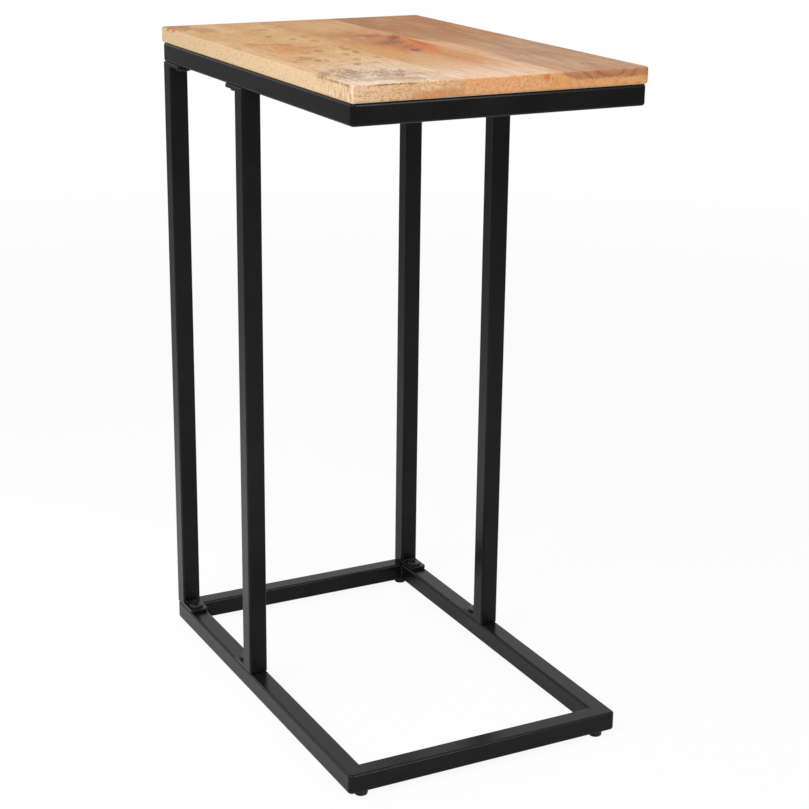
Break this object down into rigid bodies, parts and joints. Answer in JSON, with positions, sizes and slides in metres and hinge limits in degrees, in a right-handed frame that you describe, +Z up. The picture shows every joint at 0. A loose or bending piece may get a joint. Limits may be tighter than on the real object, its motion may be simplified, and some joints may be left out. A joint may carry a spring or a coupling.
{
  "type": "c shaped side table",
  "caption": "C-shaped side table: solid wood top on a square-tube steel frame, open at the front to reach over a seat, on levelling feet.",
  "frame": {"origin": "on the floor under the middle of the top", "axes": "+Z up; +X across the width; +Y towards the side that carries the rear legs, -Y towards the open mouth of the C"},
  "size_m": [0.305, 0.46, 0.6835],
  "materials": {
    "mango_left": "satin oil, pale sapwood with grey spalting",
    "mango_middle": "satin oil, pinkish with a reddish knot",
    "mango_right": "satin oil, brown heartwood",
    "frame_black": "matt black powder coat",
    "bolt_black": "black zinc",
    "zinc": "bright zinc plate",
    "foot_plastic": "black moulded plastic"
  },
  "bodies": {
    "root": {"base_frame_welds": "frame_black", "base_rail_front": "frame_black", "base_rail_left": "frame_black", "base_rail_rear": "frame_black", "base_rail_right": "frame_black", "board_left": "mango_left", "board_middle": "mango_middle", "board_right": "mango_right", "fixing_plate_front": "frame_black", "fixing_plate_left_front": "frame_black", "fixing_plate_left_rear": "frame_black", "fixing_plate_rear": "frame_black", "fixing_plate_right_front": "frame_black", "fixing_plate_right_rear": "frame_black", "fixing_welds": "frame_black", "foot_nuts": "zinc", "leg_bolts_lower": "bolt_black", "leg_bolts_upper": "bolt_black", "leg_front_left": "frame_black", "leg_front_right": "frame_black", "leg_nuts_lower": "zinc", "leg_nuts_upper": "zinc", "leg_rear_left": "frame_black", "leg_rear_right": "frame_black", "leg_welds": "frame_black", "lower_plate_front_left": "frame_black", "lower_plate_front_right": "frame_black", "lower_plate_rear_left": "frame_black", "lower_plate_rear_right": "frame_black", "top_frame_welds": "frame_black", "top_rail_front": "frame_black", "top_rail_left": "frame_black", "top_rail_rear": "frame_black", "top_rail_right": "frame_black", "top_screws": "zinc", "upper_plate_front_left": "frame_black", "upper_plate_front_right": "frame_black", "upper_plate_rear_left": "frame_black", "upper_plate_rear_right": "frame_black"},
    "rear_left_stud": {"foot_stud_rear_left": "zinc"},
    "rear_left_foot": {"foot_pad_rear_left": "foot_plastic"},
    "rear_right_stud": {"foot_stud_rear_right": "zinc"},
    "rear_right_foot": {"foot_pad_rear_right": "foot_plastic"},
    "front_left_stud": {"foot_stud_front_left": "zinc"},
    "front_left_foot": {"foot_pad_front_left": "foot_plastic"},
    "front_right_stud": {"foot_stud_front_right": "zinc"},
    "front_right_foot": {"foot_pad_front_right": "foot_plastic"}
  },
  "joints": [
    {"name": "rear_left_foot_travel", "type": "slide", "parent": "root", "child": "rear_left_stud", "axis": [0, 0, -1], "range_m": [0, 0.008]},
    {"name": "rear_left_foot_turn", "type": "hinge", "parent": "rear_left_stud", "child": "rear_left_foot", "pos_m": [-0.134, 0.2185, 0], "axis": [0, 0, -1], "range_deg": [0, 2880]},
    {"name": "rear_right_foot_travel", "type": "slide", "parent": "root", "child": "rear_right_stud", "axis": [0, 0, -1], "range_m": [0, 0.008]},
    {"name": "rear_right_foot_turn", "type": "hinge", "parent": "rear_right_stud", "child": "rear_right_foot", "pos_m": [0.134, 0.2185, 0], "axis": [0, 0, -1], "range_deg": [0, 2880]},
    {"name": "front_left_foot_travel", "type": "slide", "parent": "root", "child": "front_left_stud", "axis": [0, 0, -1], "range_m": [0, 0.008]},
    {"name": "front_left_foot_turn", "type": "hinge", "parent": "front_left_stud", "child": "front_left_foot", "pos_m": [-0.134, -0.2185, 0], "axis": [0, 0, -1], "range_deg": [0, 2880]},
    {"name": "front_right_foot_travel", "type": "slide", "parent": "root", "child": "front_right_stud", "axis": [0, 0, -1], "range_m": [0, 0.008]},
    {"name": "front_right_foot_turn", "type": "hinge", "parent": "front_right_stud", "child": "front_right_foot", "pos_m": [0.134, -0.2185, 0], "axis": [0, 0, -1], "range_deg": [0, 2880]}
  ],
  "couplings": [
    {"joint": "rear_left_foot_turn", "follows": "rear_left_foot_travel", "rad_per_m": 6283.2},
    {"joint": "rear_right_foot_turn", "follows": "rear_right_foot_travel", "rad_per_m": 6283.2},
    {"joint": "front_left_foot_turn", "follows": "front_left_foot_travel", "rad_per_m": 6283.2},
    {"joint": "front_right_foot_turn", "follows": "front_right_foot_travel", "rad_per_m": 6283.2}
  ]
}
